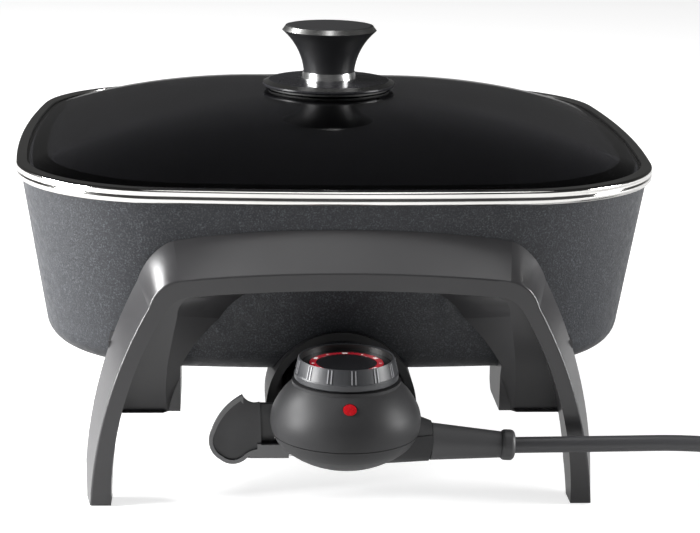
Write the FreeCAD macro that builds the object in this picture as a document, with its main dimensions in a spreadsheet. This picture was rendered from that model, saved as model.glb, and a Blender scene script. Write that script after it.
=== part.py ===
import FreeCAD, Part
import math
import os
import re
import Sketcher

# Electric skillet on two arched handle frames, with a lift-off glass lid and a plug-in heat control.
# Millimetres. +Z is up, the heat control faces -Y, and its cord leaves towards +X.
# The origin is on the surface that the feet stand on, under the middle of the whole object.
# The sizes and places below are taken from the middle of the pan, which keep() then moves back.

os.makedirs("parts", exist_ok=True)
doc = FreeCAD.newDocument("ElectricSkillet")
Vector = FreeCAD.Vector

# Driving dimensions: alias, value or the sum that gives it, and what it is
driving = [
    ("rim_half", "=pan_rim_half + 2.4", "half width of the lid's steel band, flat to flat"),
    ("side_radius", 897.0, "bow of each side, at the band"),
    ("corner_radius", 77.6, "round corner, at the band"),
    ("pan_bottom", 54.8, "underside of the pan above the surface"),
    ("pan_depth", 83.0, "pan from its underside to its rim"),
    ("pan_rim_half", 156.6, "half width of the pan at its rim"),
    ("pan_foot_half", "=pan_rim_half - 12.6", "half width that the sloping walls would have at the underside"),
    ("pan_wall", 3.2, "wall of the pan"),
    ("pan_floor", 4.0, "floor of the pan"),
    ("pan_edge_radius", 13.0, "round between wall and underside"),
    ("body_gap", 0.3, "gap between pieces that move apart"),
    ("seat_gap", 0.2, "gap between a piece and the one that it is fixed to"),
    ("screw_fit", 0.05, "gap round a screw in its thread"),
    ("band_height", 6.8, "height of the steel band"),
    ("band_width", 5.0, "width of the steel band"),
    ("band_round", 1.2, "rounded edges of the steel band"),
    ("glass_thickness", 3.6, "thickness of the glass"),
    ("glass_edge_inset", 2.2, "glass edge inside the outer face of the band"),
    ("dome_rise", 22.8, "rise of the glass above the band"),
    ("knob_foot_radius", 34.6, "knob's wide base disc"),
    ("knob_foot_height", 4.0, "knob's base disc"),
    ("knob_collar_radius", 14.2, "steel collar round the knob's neck"),
    ("knob_collar_height", 3.4, "steel collar"),
    ("knob_neck_radius", 13.2, "neck of the knob"),
    ("knob_top_radius", 24.6, "flared top of the knob"),
    ("knob_height", 24.0, "flared part of the knob"),
    ("knob_cap_radius", 22.4, "inset face on the knob"),
    ("gasket_thickness", 1.2, "soft ring between glass and knob"),
    ("knob_screw_radius", 2.5, "screw that holds the knob"),
    ("frame_front", "=pan_rim_half + 15.4", "front face of each handle frame from the middle of the pan"),
    ("frame_depth", 22.0, "depth of a leg"),
    ("foot_half", 116.4, "outer edge of a foot from the middle"),
    ("knee_half", 109.0, "outer edge of a leg, half way up its bow"),
    ("knee_height", 44.0, "height of that point"),
    ("shoulder_half", 88.5, "where a leg's bow meets the round shoulder"),
    ("shoulder_height", 94.0, "height of that point"),
    ("corner_half", 84.6, "middle of the round shoulder"),
    ("corner_height", 101.4, "height of that point"),
    ("brow_half", 75.0, "where the shoulder meets the handle"),
    ("brow_height", 106.6, "height of that point"),
    ("arch_height", 110.0, "top edge of the handle's front face"),
    ("face_width", 8.0, "front face of the handle, top to bottom"),
    ("leg_width", 10.0, "front face of a leg at the foot"),
    ("foot_flare", 3.2, "how far the foot widens from front to back"),
    ("leg_flare", 6.0, "how far the leg widens from front to back"),
    ("top_flare", 21.5, "how far the handle's top rises from front to back"),
    ("web_half", 78.0, "inner edge of the web where it meets the pan"),
    ("web_knee_half", 68.5, "the same, half way up"),
    ("web_knee_height", 66.0, "height of that point"),
    ("web_brow_half", 39.0, "the same, at the round brow"),
    ("web_brow_height", 95.6, "height of that point"),
    ("web_top", 103.6, "top of the opening at the pan"),
    ("lug_bottom", 37.4, "underside of the lug that carries the pan"),
    ("lug_inner", 75.0, "inner end of the lug"),
    ("lug_outer", 108.0, "outer side of the lug"),
    ("lug_back", "=boss_along - 16", "back of the lug from the middle of the pan"),
    ("frame_edge_round", 1.0, "rounded outer edge of the front face"),
    ("web_slope", 17.0, "slope of the web's underside, in degrees"),
    ("lug_round", 7.0, "rounded lower front edge of the lug"),
    ("foot_chamfer", 16.0, "slanted back of the foot"),
    ("boss_across", 91.0, "screw boss from the middle, sideways"),
    ("boss_along", "=pan_rim_half - 30.6", "screw boss from the middle, front to back"),
    ("boss_radius", 7.0, "screw boss on the pan"),
    ("boss_bottom", 45.0, "lower face of the screw boss"),
    ("frame_screw_radius", 2.5, "screw that holds a frame"),
    ("frame_screw_head", 4.8, "head radius of that screw"),
    ("frame_screw_head_height", 3.0, "head of that screw"),
    ("washer_radius", 8.0, "washer under a frame lug"),
    ("washer_thickness", 2.0, "washer under a frame lug"),
    ("element_ring", 88.0, "radius of the heating element's loop"),
    ("element_radius", 3.5, "tube radius of the heating element"),
    ("terminal_half", 19.0, "terminal pin from the middle"),
    ("terminal_radius", 2.5, "terminal pin"),
    ("nose_gap", 0.8, "gap between the pan's underside and the control's nose"),
    ("nose_above", 10.0, "top of the nose above the pins and probe"),
    ("terminal_height", "=pan_bottom - nose_gap - nose_above", "pins and probe above the surface"),
    ("terminal_tip", "=guard_front - 8", "front end of the terminal pins"),
    ("terminal_root", "=guard_back - 3", "back end of the terminal pins"),
    ("guard_radius", 35.2, "outside of the round guard"),
    ("guard_wall", 3.6, "wall of the guard"),
    ("guard_height", "=terminal_height - 3", "middle of the guard above the surface"),
    ("guard_front", "=frame_front - 18", "front edge of the guard"),
    ("guard_back", "=guard_front - 33", "back face of the guard's plate"),
    ("guard_plate", 3.0, "the guard's plate"),
    ("guard_open", 11.0, "guard ends this far below its middle"),
    ("guard_ear_inner", 24.0, "inner side of a mounting ear behind the guard"),
    ("guard_ear", 32.0, "outer side of a mounting ear behind the guard"),
    ("guard_ear_length", 18.0, "mounting ear, front to back"),
    ("ear_screw_half", 28.0, "ear screw from the middle"),
    ("ear_screw_along", "=guard_back - 10", "ear screw, front to back"),
    ("ear_screw_radius", 1.6, "ear screw"),
    ("socket_radius", 4.5, "outside of the probe's socket tube"),
    ("socket_back", 66.0, "closed end of the socket tube"),
    ("probe_radius", 3.0, "sensing probe"),
    ("probe_tip", 72.0, "end of the probe from the middle of the pan"),
    ("control_along", "=guard_front + 32", "axis of the control's body from the middle"),
    ("control_bottom", "=terminal_height - 19.9", "underside of the control"),
    ("control_chin_radius", 28.5, "where the underside's bow ends"),
    ("control_chin_height", "=terminal_height - 10", "height of that point"),
    ("control_radius", 34.0, "widest radius of the control"),
    ("control_belly_height", "=terminal_height + 3", "height of the widest part"),
    ("control_shoulder_radius", 32.0, "where the shoulder starts"),
    ("control_shoulder_height", "=terminal_height + 10", "height of that point"),
    ("control_neck_radius", 24.4, "top of the control under the dial"),
    ("control_top", "=terminal_height + 20.9", "top face of the control"),
    ("control_wall", 2.2, "wall of the control's shells"),
    ("deck_height", "=terminal_height - 9", "underside of the control's inner parts"),
    ("seam_groove", 0.35, "groove that shows where the two shells meet"),
    ("seam_height", "=terminal_height - 3", "where the two shells meet"),
    ("nose_half", 27.0, "half width of the nose that plugs in"),
    ("nose_bottom", "=terminal_height - 13", "underside of the nose"),
    ("nose_top", "=terminal_height + nose_above", "top of the nose"),
    ("contact_length", 34.0, "block that holds the contacts, front to back"),
    ("contact_wall", 1.6, "wall of a contact tube"),
    ("contact_tube_length", 24.0, "contact tube"),
    ("contact_tube_inset", 0.5, "contact tube behind the block's face"),
    ("nose_back", "=guard_back + 6", "end of the nose from the middle of the pan"),
    ("cord_height", "=terminal_height - 10.6", "cord's height where it leaves the control"),
    ("neck_height", "=cord_height + 2", "middle of the side neck where the strain relief starts"),
    ("neck_end", 39.0, "end of the control's side neck"),
    ("neck_climb", 5.6, "rise of the side neck towards the control's axis"),
    ("neck_swell", 7.2, "growth of the side neck's radius towards the control's axis"),
    ("neck_radius", 9.0, "control's side neck at its end"),
    ("relief_length", 38.0, "strain relief"),
    ("relief_radius", 8.5, "strain relief at the control"),
    ("relief_tip_radius", 6.0, "strain relief before its collar"),
    ("relief_collar_radius", 7.0, "collar at the end of the strain relief"),
    ("relief_collar_round", 2.0, "rounded edges of that collar"),
    ("relief_collar_length", 6.4, "collar at the end of the strain relief"),
    ("cord_diameter", 7.4, "mains cord"),
    ("dial_recess", 2.9, "black face below the rim of the dial"),
    ("dial_radius", 23.4, "dial"),
    ("dial_bottom", "=control_top + 0.4", "underside of the dial"),
    ("dial_height", 10.1, "height of the dial"),
    ("dial_face_radius", 20.4, "black face on the dial"),
    ("scale_radius", 16.6, "outside of the red scale ring"),
    ("scale_opening", 84.0, "open part of the red scale ring, in degrees"),
    ("scale_width", 2.9, "width of the red scale ring"),
    ("shaft_radius", 3.0, "dial shaft"),
    ("pilot_height", "=terminal_height + 15.4", "middle of the pilot light"),
    ("pilot_radius", 3.0, "half width of the pilot light"),
    ("pilot_half_height", 2.0, "half height of the pilot light"),
    ("lever_pivot_half", 25.0, "lever's pivot from the middle"),
    ("lever_pivot_along", "=control_along - 23", "lever's pivot from the middle of the pan"),
    ("lever_pin_radius", 1.6, "lever's pin"),
    ("lever_hub_radius", 4.6, "lever's hub"),
    ("lever_bottom", "=terminal_height - 21", "underside of the lever's arm"),
    ("lever_arm_height", 6.4, "height of the lever's arm"),
    ("lever_plate", 3.0, "thickness of the lever's paddle"),
    ("lever_rim", 1.8, "raised rim round the paddle's hollow"),
    ("lever_hollow", 1.2, "depth of the paddle's hollow"),
    ("lever_along", "=control_along - 13", "front of the paddle from the middle of the pan"),
    ("coil_across", 256.0, "middle of the put-away coil, sideways"),
    ("coil_outer", 44.0, "radius of the coil's largest half turn"),
    ("coil_pitch", 8.0, "turn to turn in the coil, and layer to layer"),
    ("coil_half_turns", 5, "half turns in each layer"),
    ("tie_thickness", 1.0, "tie round the coil"),
    ("tie_width", 9.0, "tie round the coil"),
    ("tie_gap", 0.4, "gap between the tie and the turns"),
    ("plug_length", 36.0, "plug body"),
    ("plug_width", 34.0, "plug body at its pins"),
    ("plug_pin_radius", 2.4, "plug pin"),
    ("plug_pin_length", 19.0, "plug pin"),
    ("plug_pin_spacing", 19.0, "between the plug pins"),
]

sheet = doc.addObject("Spreadsheet::Sheet", "Sizes")
for row, (alias, number, meaning) in enumerate(driving, 1):
    sheet.set("A%d" % row, alias)
    sheet.set("B%d" % row, "1")
    sheet.setAlias("B%d" % row, alias)
    sheet.set("C%d" % row, meaning)
for row, (alias, number, meaning) in enumerate(driving, 1):
    sheet.set("B%d" % row, str(number))
doc.recompute()
aliases = {alias for alias, number, meaning in driving}


def linked(text):
    """The text of an expression, with each size's name pointed at the sheet."""
    return re.sub("[a-z_]+", lambda word: "Sizes." + word.group(0) if word.group(0) in aliases else word.group(0), text)


def size(text):
    """The present value of a size, or of a sum of sizes."""
    return float(sheet.evalExpression(text))


def bind(item, prop, text):
    item.setExpression(prop, linked(text))


nodes = []
along_of = {}
# The control stands out further in front than the frames do behind, so the pan sits behind the origin
pan_shift = "(control_along + control_radius - frame_front) / 2"


def keep(item):
    """Marks a finished sub-part, and moves it with the pan so that the origin is in the middle."""
    bind(item, "Placement.Base.y", along_of.get(item.Name, "0") + " + " + pan_shift)
    nodes.append(item)
    return item


# Builders for the plain forms, with every size bound to the sheet

def place(item, across="0", along="0", height="0"):
    along_of[item.Name] = along
    bind(item, "Placement.Base.x", across)
    bind(item, "Placement.Base.y", along)
    bind(item, "Placement.Base.z", height)


def rod(name, radius, length, across="0", along="0", height="0", axis="Z"):
    """A cylinder that starts at the given point and runs along an axis."""
    item = doc.addObject("Part::Cylinder", name)
    bind(item, "Radius", radius)
    bind(item, "Height", length)
    if axis == "Y":
        item.Placement = FreeCAD.Placement(Vector(), FreeCAD.Rotation(Vector(1, 0, 0), -90))
    if axis == "X":
        item.Placement = FreeCAD.Placement(Vector(), FreeCAD.Rotation(Vector(0, 1, 0), 90))
    place(item, across, along, height)
    return item


def block(name, length, width, height_text, across="0", along="0", height="0"):
    """A box, placed by its lower corner with the least X and Y."""
    item = doc.addObject("Part::Box", name)
    bind(item, "Length", length)
    bind(item, "Width", width)
    bind(item, "Height", height_text)
    place(item, across, along, height)
    return item


def cut(name, base, tool):
    item = doc.addObject("Part::Cut", name)
    item.Base = base
    item.Tool = tool
    return item


def fuse(name, items):
    item = doc.addObject("Part::MultiFuse", name)
    item.Shapes = items
    return item


def group(name, items):
    """Identical separate solids that share one node."""
    item = doc.addObject("Part::Compound", name)
    item.Links = items
    return item


def shaped(name, shape):
    item = doc.addObject("Part::Feature", name)
    item.Shape = shape
    return item


def origin_plane(body, role):
    return [feature for feature in body.Origin.OriginFeatures if feature.Role == role][0]


def turned(name, outline, along="0", height="0"):
    """A turned body. Each outline entry is radius, height, and the radius of an arc to the next, or None."""
    body = doc.addObject("PartDesign::Body", name)
    sketch = body.newObject("Sketcher::SketchObject", name + "_profile")
    sketch.AttachmentSupport = [(origin_plane(body, "XZ_Plane"), "")]
    sketch.MapMode = "FlatFace"
    points = [Vector(size(entry[0]), size(entry[1]), 0) for entry in outline]
    count = len(outline)
    for index, entry in enumerate(outline):
        start = points[index]
        end = points[(index + 1) % count]
        if entry[2] is None:
            sketch.addGeometry(Part.LineSegment(start, end), False)
        else:
            chord = end - start
            radius = size(entry[2].strip("-"))
            sagitta = radius - math.sqrt(radius ** 2 - (chord.Length / 2) ** 2)
            side = Vector(chord.y, -chord.x, 0).normalize() * (-sagitta if entry[2][0] == "-" else sagitta)
            sketch.addGeometry(Part.Arc(start, (start + end) / 2 + side, end), False)
    ends = []
    for index in range(count):
        first = sketch.getPoint(index, 1)
        forward = (first - points[index]).Length < (first - points[(index + 1) % count]).Length
        ends.append((1, 2) if forward else (2, 1))
    for index, entry in enumerate(outline):
        following = (index + 1) % count
        sketch.addConstraint(Sketcher.Constraint("Coincident", index, ends[index][1], following, ends[following][0]))
        for kind, text in (("DistanceX", entry[0]), ("DistanceY", entry[1])):
            if text == "0":
                axis_line = -2 if kind == "DistanceX" else -1
                sketch.addConstraint(Sketcher.Constraint("PointOnObject", index, ends[index][0], axis_line))
            else:
                number = sketch.addConstraint(
                    Sketcher.Constraint(kind, -1, 1, index, ends[index][0], size(text)))
                sketch.setExpression("Constraints[%d]" % number, linked(text))
        if entry[2] is not None:
            number = sketch.addConstraint(Sketcher.Constraint("Radius", index, size(entry[2].strip("-"))))
            sketch.setExpression("Constraints[%d]" % number, linked(entry[2].strip("-")))
    turn = body.newObject("PartDesign::Revolution", name + "_turn")
    turn.Profile = sketch
    turn.ReferenceAxis = (sketch, ["V_Axis"])
    turn.Angle = 360
    body.Tip = turn
    place(body, "0", along, height)
    return body


# Outlines and solids for the forms that have no ready-made feature

def rounded_square(half, height):
    """The pan's outline: four bowed sides and four round corners, scaled to a half width."""
    scale = half / size("rim_half")
    side = size("side_radius") * scale
    corner = size("corner_radius") * scale
    offset = side - half
    reach = side - corner
    middle = (math.sqrt(2 * reach ** 2 - offset ** 2) - offset) / 2
    edges = []
    for quarter in range(4):
        turn = FreeCAD.Rotation(Vector(0, 0, 1), 90 * quarter)
        side_middle = Vector(-offset, 0, 0)
        corner_middle = Vector(middle, middle, 0)
        lean = (corner_middle - side_middle).normalize()
        touch = side_middle + lean * side
        below = Vector(touch.x, -touch.y, 0)
        across = Vector(touch.y, touch.x, 0)
        crown = corner_middle + Vector(1, 1, 0).normalize() * corner
        for points in ((below, Vector(half, 0, 0), touch), (touch, crown, across)):
            raised = [turn.multVec(point) + Vector(0, 0, height) for point in points]
            edges.append(Part.Arc(*raised).toShape())
    return Part.Wire(edges)


def tapered(lower_half, lower, upper_half, upper):
    return Part.makeLoft([rounded_square(lower_half, lower), rounded_square(upper_half, upper)], True, True)


def ring_edges(solid, height):
    return [edge for edge in solid.Edges if abs(edge.BoundBox.ZMax - height) < 0.01 and edge.BoundBox.ZLength < 0.01]


def arch(along, foot, knee, shoulder, corner, brow, top, low=-5.0):
    """A closed arch outline in a plane square to Y, from sideways distances and heights."""
    def at(point, sign):
        return Vector(sign * point[0], along, point[1])
    lowest = (foot, low)
    edges = [
        Part.Arc(at(lowest, 1), at(knee, 1), at(shoulder, 1)).toShape(),
        Part.Arc(at(shoulder, 1), at(corner, 1), at(brow, 1)).toShape(),
        Part.Arc(at(brow, 1), Vector(0, along, top), at(brow, -1)).toShape(),
        Part.Arc(at(brow, -1), at(corner, -1), at(shoulder, -1)).toShape(),
        Part.Arc(at(shoulder, -1), at(knee, -1), at(lowest, -1)).toShape(),
        Part.LineSegment(at(lowest, -1), at(lowest, 1)).toShape(),
    ]
    return Part.Wire(edges)


def box(x_low, x_high, y_low, y_high, z_low, z_high):
    return Part.makeBox(x_high - x_low, y_high - y_low, z_high - z_low, Vector(x_low, y_low, z_low))


def cylinder(radius, start, end):
    return Part.makeCylinder(radius, (end - start).Length, start, end - start)


def lathe(points, along):
    """A solid turned about an upright axis. A three-point entry is an arc through its middle point."""
    edges = []
    for piece in points:
        raised = [Vector(point[0], 0, point[1]) for point in piece]
        if len(raised) == 3:
            edges.append(Part.Arc(*raised).toShape())
        else:
            edges.append(Part.LineSegment(*raised).toShape())
    face = Part.Face(Part.Wire(edges))
    solid = face.revolve(Vector(), Vector(0, 0, 1), 360)
    solid = Part.makeSolid(solid) if solid.ShapeType == "Shell" else solid
    solid.translate(Vector(0, along, 0))
    return solid


# Pan

pan_bottom = size("pan_bottom")
pan_rim = size("pan_bottom + pan_depth")
boss_places = [Vector(across * size("boss_across"), along * size("boss_along"), 0)
               for across in (-1, 1) for along in (-1, 1)]
wall_slope = size("(pan_rim_half - pan_foot_half) / pan_depth")


def pan_outside(extra):
    """The pan's outer form, grown by a gap for the pieces that are shaped round it."""
    foot = size("pan_foot_half") + extra
    rim = size("pan_rim_half") + extra
    solid = tapered(foot, pan_bottom - extra, rim, pan_rim + extra)
    return solid.makeFillet(size("pan_edge_radius") + extra, ring_edges(solid, pan_bottom - extra))


def pan_with_bosses(extra):
    solid = pan_outside(extra)
    for spot in boss_places:
        low = spot + Vector(0, 0, size("boss_bottom") - extra)
        high = spot + Vector(0, 0, pan_bottom + size("pan_edge_radius"))
        solid = solid.fuse(cylinder(size("boss_radius") + extra, low, high))
    return solid


def pan_inside():
    wall = size("pan_wall")
    floor = pan_bottom + size("pan_floor")
    over = 1.0
    foot = size("pan_foot_half") - wall + size("pan_floor") * wall_slope
    rim = size("pan_rim_half") - wall + over * wall_slope
    solid = tapered(foot, floor, rim, pan_rim + over)
    return solid.makeFillet(size("pan_edge_radius - pan_wall"), ring_edges(solid, floor))


def make_pan():
    cradle_front = -size("guard_back") + 2
    cradle = box(-12, 12, cradle_front, -size("socket_back"), size("terminal_height") - 3, pan_bottom + 1)
    axis_start = Vector(0, -size("guard_back") - 5, size("terminal_height"))
    axis_end = Vector(0, -size("socket_back") + 5, size("terminal_height"))
    cradle = cradle.cut(cylinder(size("socket_radius + screw_fit"), axis_start, axis_end))
    solid = pan_with_bosses(0.0).fuse(cradle).cut(pan_inside())
    screw = size("frame_screw_radius + screw_fit")
    for spot in boss_places:
        low = spot + Vector(0, 0, size("boss_bottom") - 1)
        high = spot + Vector(0, 0, size("boss_bottom + 9"))
        solid = solid.cut(cylinder(screw, low, high))
    for sign in (-1, 1):
        low = Vector(sign * size("ear_screw_half"), -size("ear_screw_along"), pan_bottom - 1)
        high = Vector(low.x, low.y, size("pan_bottom + pan_floor") - 1)
        solid = solid.cut(cylinder(size("ear_screw_radius + screw_fit"), low, high))
    return solid.removeSplitter()


keep(shaped("pan_body", make_pan()))


# Heating element, terminal pins and probe socket

def make_element():
    height = size("pan_bottom - seat_gap - element_radius")
    radius = size("element_radius")
    ring = size("element_ring")
    opening = math.degrees(math.asin(size("terminal_half") / ring))
    loop = Part.makeTorus(ring, radius, Vector(), Vector(0, 0, 1), 0, 360, 360 - 2 * opening)
    loop.rotate(Vector(), Vector(0, 0, 1), -90 + opening)
    loop.translate(Vector(0, 0, height))
    solid = loop
    for sign in (-1, 1):
        bend = Vector(sign * size("terminal_half"), -ring * math.cos(math.radians(opening)), height)
        end = Vector(bend.x, -size("terminal_root"), size("terminal_height"))
        solid = solid.fuse(Part.makeSphere(radius, bend))
        solid = solid.fuse(cylinder(radius, bend, end))
    return solid.cut(box(-60, 60, -size("terminal_root") - 20, -size("terminal_root"), 0, 80))


keep(shaped("heating_element", make_element()))

terminal_pins = []
for side_name, sign in (("left", "-"), ("right", "")):
    terminal_pins.append(rod("terminal_pin_" + side_name, "terminal_radius", "terminal_tip - terminal_root",
                             sign + "terminal_half", "-terminal_tip", "terminal_height", "Y"))
keep(group("terminal_pins", terminal_pins))

socket_outside = rod("socket_outside", "socket_radius", "guard_back + guard_plate - socket_back",
                     "0", "-guard_back - guard_plate", "terminal_height", "Y")
socket_bore = rod("socket_bore", "probe_radius + body_gap", "guard_back + guard_plate - socket_back - 2",
                  "0", "-guard_back - guard_plate", "terminal_height", "Y")
keep(cut("probe_socket", socket_outside, socket_bore))


# Guard round the terminals

def make_guard():
    middle = size("guard_height")
    front = -size("guard_front")
    back = -size("guard_back")
    radius = size("guard_radius")
    outside = cylinder(radius, Vector(0, front, middle), Vector(0, back, middle))
    inside = cylinder(radius - size("guard_wall"), Vector(0, front - 1, middle),
                      Vector(0, back - size("guard_plate"), middle))
    solid = outside.cut(inside)
    ear_low = pan_bottom - size("seat_gap") - size("guard_plate")
    for low_side, high_side in ((-size("guard_ear"), -size("guard_ear_inner")),
                                (size("guard_ear_inner"), size("guard_ear"))):
        solid = solid.fuse(box(low_side, high_side, back - size("guard_plate"), back + size("guard_ear_length"),
                               ear_low, pan_bottom))
    solid = solid.cut(box(-60, 60, front - 1, back + 1, 0, middle - size("guard_open")))
    slant = box(-60, 60, front - 30, front, middle, middle + 60)
    slant.rotate(Vector(0, front, middle), Vector(1, 0, 0), -7)
    solid = solid.cut(slant)
    for sign in (-1, 0, 1):
        hole = size("socket_radius + screw_fit") if sign == 0 else size("element_radius + seat_gap")
        start = Vector(sign * size("terminal_half"), back - 5, size("terminal_height"))
        solid = solid.cut(cylinder(hole, start, start + Vector(0, 10, 0)))
        if sign:
            low = Vector(sign * size("ear_screw_half"), -size("ear_screw_along"), ear_low - 1)
            solid = solid.cut(cylinder(size("ear_screw_radius + seat_gap"), low, low + Vector(0, 0, 8)))
    return solid.cut(pan_outside(size("seat_gap")))


keep(shaped("probe_guard", make_guard()))

guard_screws = []
for side_name, sign in (("left", "-"), ("right", "")):
    across = sign + "ear_screw_half"
    head = rod("guard_screw_head_" + side_name, "ear_screw_radius * 2", "1.8",
               across, "-ear_screw_along", "pan_bottom - seat_gap - guard_plate - 1.8")
    shank = rod("guard_screw_shank_" + side_name, "ear_screw_radius", "guard_plate + seat_gap + pan_floor - 1.5",
                across, "-ear_screw_along", "pan_bottom - seat_gap - guard_plate")
    guard_screws.append(fuse("guard_screw_" + side_name, [head, shank]))
keep(group("guard_screws", guard_screws))


# Handle frames, each an arch that is handle and two legs in one moulding

def make_frame():
    front = -size("frame_front")
    back = front + size("frame_depth")
    deep = size("frame_depth")
    foot = size("foot_half")
    knee = (size("knee_half"), size("knee_height"))
    shoulder = (size("shoulder_half"), size("shoulder_height"))
    corner = (size("corner_half"), size("corner_height"))
    brow = (size("brow_half"), size("brow_height"))
    face = size("face_width")
    flare = size("leg_flare")
    rise = size("top_flare")
    outer_front = arch(front, foot, knee, shoulder, corner, brow, size("arch_height"))
    outer_back = arch(back, foot + size("foot_flare"), (knee[0] + flare, knee[1]),
                      (shoulder[0] + flare, shoulder[1] + 0.35 * rise),
                      (corner[0] + 0.7 * flare, corner[1] + 0.5 * rise),
                      (brow[0] + 0.5 * flare, brow[1] + 0.65 * rise), size("arch_height") + rise)
    solid = Part.makeLoft([outer_front, outer_back], True, True)
    edge_round = size("frame_edge_round")
    front_edges = [edge for edge in solid.Edges if edge.BoundBox.YLength < 0.01 and edge.BoundBox.YMax < front + 1]
    solid = solid.makeFillet(edge_round, [edge for edge in front_edges if edge.BoundBox.ZMax > 1])
    lug = box(size("lug_inner"), size("lug_outer"), back - 1, -size("lug_back"), size("lug_bottom"), pan_bottom + 18)
    low_front = [edge for edge in lug.Edges if edge.BoundBox.XLength > 5 and edge.BoundBox.ZMax < size("lug_bottom") + 1]
    lug = lug.makeFillet(size("lug_round"), [edge for edge in low_front if edge.BoundBox.YMin > back + 1])
    solid = solid.fuse(lug).fuse(lug.mirror(Vector(), Vector(1, 0, 0)))
    early = 1.0
    inner_front = arch(front - early, foot - size("leg_width"), (knee[0] - 0.9 * face, knee[1] - 2),
                       (shoulder[0] - 0.8 * face, shoulder[1] - 0.4 * face),
                       (corner[0] - 0.8 * face, corner[1] - 0.7 * face),
                       (brow[0] - 0.4 * face, brow[1] - 0.95 * face), size("arch_height") - face)
    inner_back = arch(back + 3, size("web_half"), (size("web_knee_half"), size("web_knee_height")),
                      (size("0.5 * web_knee_half + 0.5 * web_brow_half"),
                       size("0.45 * web_knee_height + 0.55 * web_brow_height")),
                      (size("0.2 * web_knee_half + 0.8 * web_brow_half"),
                       size("0.12 * web_knee_height + 0.88 * web_brow_height")),
                      (size("web_brow_half") - 6, size("web_brow_height") + 2), size("web_top"))
    solid = solid.cut(Part.makeLoft([inner_front, inner_back], True, True))
    straight = Part.Face(inner_front).extrude(Vector(0, deep * 4, 0))
    # The web's underside slopes up towards the front, and its edge is rounded by two more slopes
    below = box(-200, 200, front - 5, -60, -10, size("lug_bottom"))
    for rise_angle, lift in ((size("web_slope"), 0), (size("web_slope") + 30, 1.5), (size("web_slope") + 52, 5)):
        wedge = box(-200, 200, -80, 0, -60, 0)
        wedge.rotate(Vector(), Vector(1, 0, 0), -rise_angle)
        wedge.translate(Vector(0, back + lift * 0.4, size("lug_bottom") + lift * 0.2))
        below = below.fuse(wedge)
    solid = solid.cut(straight.common(below))
    solid = solid.cut(box(-200, 200, front - 5, 0, -10, 0))
    slant = box(-200, 200, 0, 40, -40, 0)
    slant.rotate(Vector(), Vector(1, 0, 0), 60)
    slant.translate(Vector(0, back - size("foot_chamfer") * 0.55, 0))
    solid = solid.cut(slant)
    solid = solid.cut(pan_with_bosses(size("seat_gap")))
    for spot in boss_places:
        if spot.y < 0:
            low_end = spot + Vector(0, 0, size("lug_bottom") - 1)
            solid = solid.cut(cylinder(size("frame_screw_radius + seat_gap"), low_end, low_end + Vector(0, 0, 30)))
    return solid.removeSplitter()


keep(shaped("front_frame", make_frame()))
rear_frame = shaped("rear_frame", make_frame())
rear_frame.Placement = FreeCAD.Placement(Vector(), FreeCAD.Rotation(Vector(0, 0, 1), 180))
keep(rear_frame)

washers = []
screws = []
for row_name, row_sign in (("front", "-"), ("rear", "")):
    for side_name, sign in (("left", "-"), ("right", "")):
        spot_name = row_name + "_" + side_name
        across = sign + "boss_across"
        along = row_sign + "boss_along"
        disc = rod("washer_disc_" + spot_name, "washer_radius", "washer_thickness",
                   across, along, "lug_bottom - washer_thickness")
        hole = rod("washer_hole_" + spot_name, "frame_screw_radius + seat_gap", "washer_thickness",
                   across, along, "lug_bottom - washer_thickness")
        washers.append(cut("washer_" + spot_name, disc, hole))
        head = rod("screw_head_" + spot_name, "frame_screw_head", "frame_screw_head_height",
                   across, along, "lug_bottom - washer_thickness - frame_screw_head_height")
        shank = rod("screw_shank_" + spot_name, "frame_screw_radius", "boss_bottom + 8 - lug_bottom + washer_thickness",
                    across, along, "lug_bottom - washer_thickness")
        screws.append(fuse("screw_" + spot_name, [head, shank]))
keep(group("frame_washers", washers))
keep(group("frame_screws", screws))


# Lid: glass dome, steel band and knob

band_bottom = size("pan_bottom + pan_depth + body_gap")
band_top = band_bottom + size("band_height")
glass_low = band_bottom + 1.6
glass_high = glass_low + size("glass_thickness")
glass_half = size("rim_half - glass_edge_inset")
dome_top = band_top + size("dome_rise")
# How full the dome is: 2 is a parabola, more is flatter on top and steeper at the edge
dome_fullness = 2.4


def dome(inset, drop):
    """The solid under the glass's upper face, drawn in and lowered for its under face."""
    foot = glass_high - 0.6 - drop
    rise = dome_top - drop - foot
    outlines = []
    for share in (1.0, 0.93, 0.82, 0.66, 0.46, 0.24, 0.06):
        outlines.append(rounded_square((glass_half - 1 - inset) * share, foot + rise * (1 - share ** dome_fullness)))
    return Part.makeLoft(outlines, True, False)


def make_glass():
    thick = size("glass_thickness")
    edge_inside = glass_half - 6
    edge = tapered(glass_half, glass_low, glass_half, glass_high)
    edge = edge.cut(tapered(edge_inside, glass_low - 1, edge_inside, glass_high + 1))
    inner = dome(thick * 0.9, thick)
    below = tapered(edge_inside, glass_low - 10, edge_inside, glass_high - 0.6 - thick + 0.01)
    solid = dome(0, 0).cut(inner).cut(below).fuse(edge)
    hole = cylinder(size("knob_screw_radius + seat_gap"), Vector(0, 0, glass_low), Vector(0, 0, dome_top + 5))
    return solid.cut(hole)


keep(shaped("lid_glass", make_glass()))


def make_band():
    outer = size("rim_half")
    inner = outer - size("band_width")
    solid = tapered(outer, band_bottom, outer, band_top)
    rims = ring_edges(solid, band_bottom) + ring_edges(solid, band_top)
    solid = solid.makeFillet(size("band_round"), rims)
    solid = solid.cut(tapered(inner, band_bottom - 1, inner, band_top + 1))
    gap = size("screw_fit")
    slot = tapered(glass_half + gap, glass_low - gap, glass_half + gap, glass_high + gap)
    solid = solid.cut(slot)
    return solid.cut(dome(-gap, -gap))


keep(shaped("lid_band", make_band()))

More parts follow.
